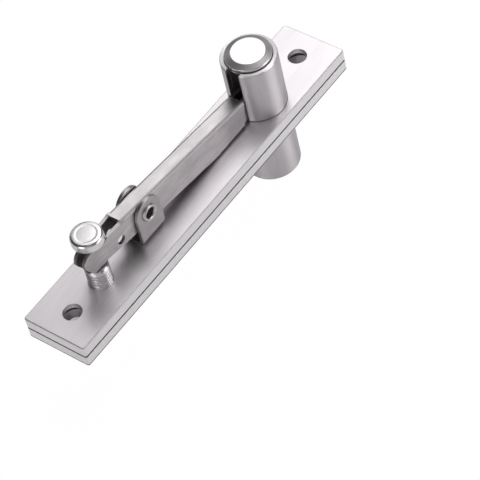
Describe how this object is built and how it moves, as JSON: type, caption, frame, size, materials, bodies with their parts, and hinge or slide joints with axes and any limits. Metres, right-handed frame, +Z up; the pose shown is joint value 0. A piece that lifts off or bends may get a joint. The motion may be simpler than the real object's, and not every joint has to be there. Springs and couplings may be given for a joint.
{
  "type": "pivot hinge",
  "caption": "Retractable pivot hinge for a door: a frame plate with a slotted housing and a screw-driven folded lever that lifts the pivot pin, on a door plate with a closed sleeve.",
  "frame": {"origin": "on the pivot axis, at the frame plate's upper face, where the housing tube stands on it", "axes": "+Z up the pivot axis from the frame plate into the frame's recess; +X along the plates from the adjusting screw to the pivot; +Y across the plates"},
  "size_m": [0.1324, 0.023, 0.0504],
  "materials": {
    "satin_plate": "satin, with a fine grain along the plate and bright bevelled edges",
    "turned_steel": "fine turned finish",
    "pressed_steel": "smooth pressed sheet",
    "polished_steel": "polished"
  },
  "bodies": {
    "frame_unit": {"frame_plate": "satin_plate", "housing_tube": "turned_steel", "bracket": "pressed_steel", "rivet": "pressed_steel"},
    "pin": {"pivot_pin": "polished_steel"},
    "lever": {"lever": "pressed_steel"},
    "screw": {"adjusting_screw": "polished_steel"},
    "door_unit": {"door_plate": "satin_plate", "door_sleeve": "turned_steel"}
  },
  "joints": [
    {"name": "pin_slide", "type": "slide", "parent": "frame_unit", "child": "pin", "axis": [0, 0, 1], "range_m": [0, 0.0143]},
    {"name": "lever_rock", "type": "hinge", "parent": "frame_unit", "child": "lever", "pos_m": [-0.0585, 0, 0.0108], "axis": [0, -1, 0], "range_deg": [0, 14]},
    {"name": "screw_slide", "type": "slide", "parent": "frame_unit", "child": "screw", "axis": [0, 0, -1], "range_m": [0, 0.0059]},
    {"name": "door_swing", "type": "hinge", "parent": "frame_unit", "child": "door_unit", "pos_m": [0, 0, -0.0044], "axis": [0, 0, 1], "continuous": true}
  ],
  "couplings": [
    {"joint": "lever_rock", "follows": "pin_slide", "rad_per_m": 17.08},
    {"joint": "screw_slide", "follows": "pin_slide", "ratio": 0.4125}
  ]
}
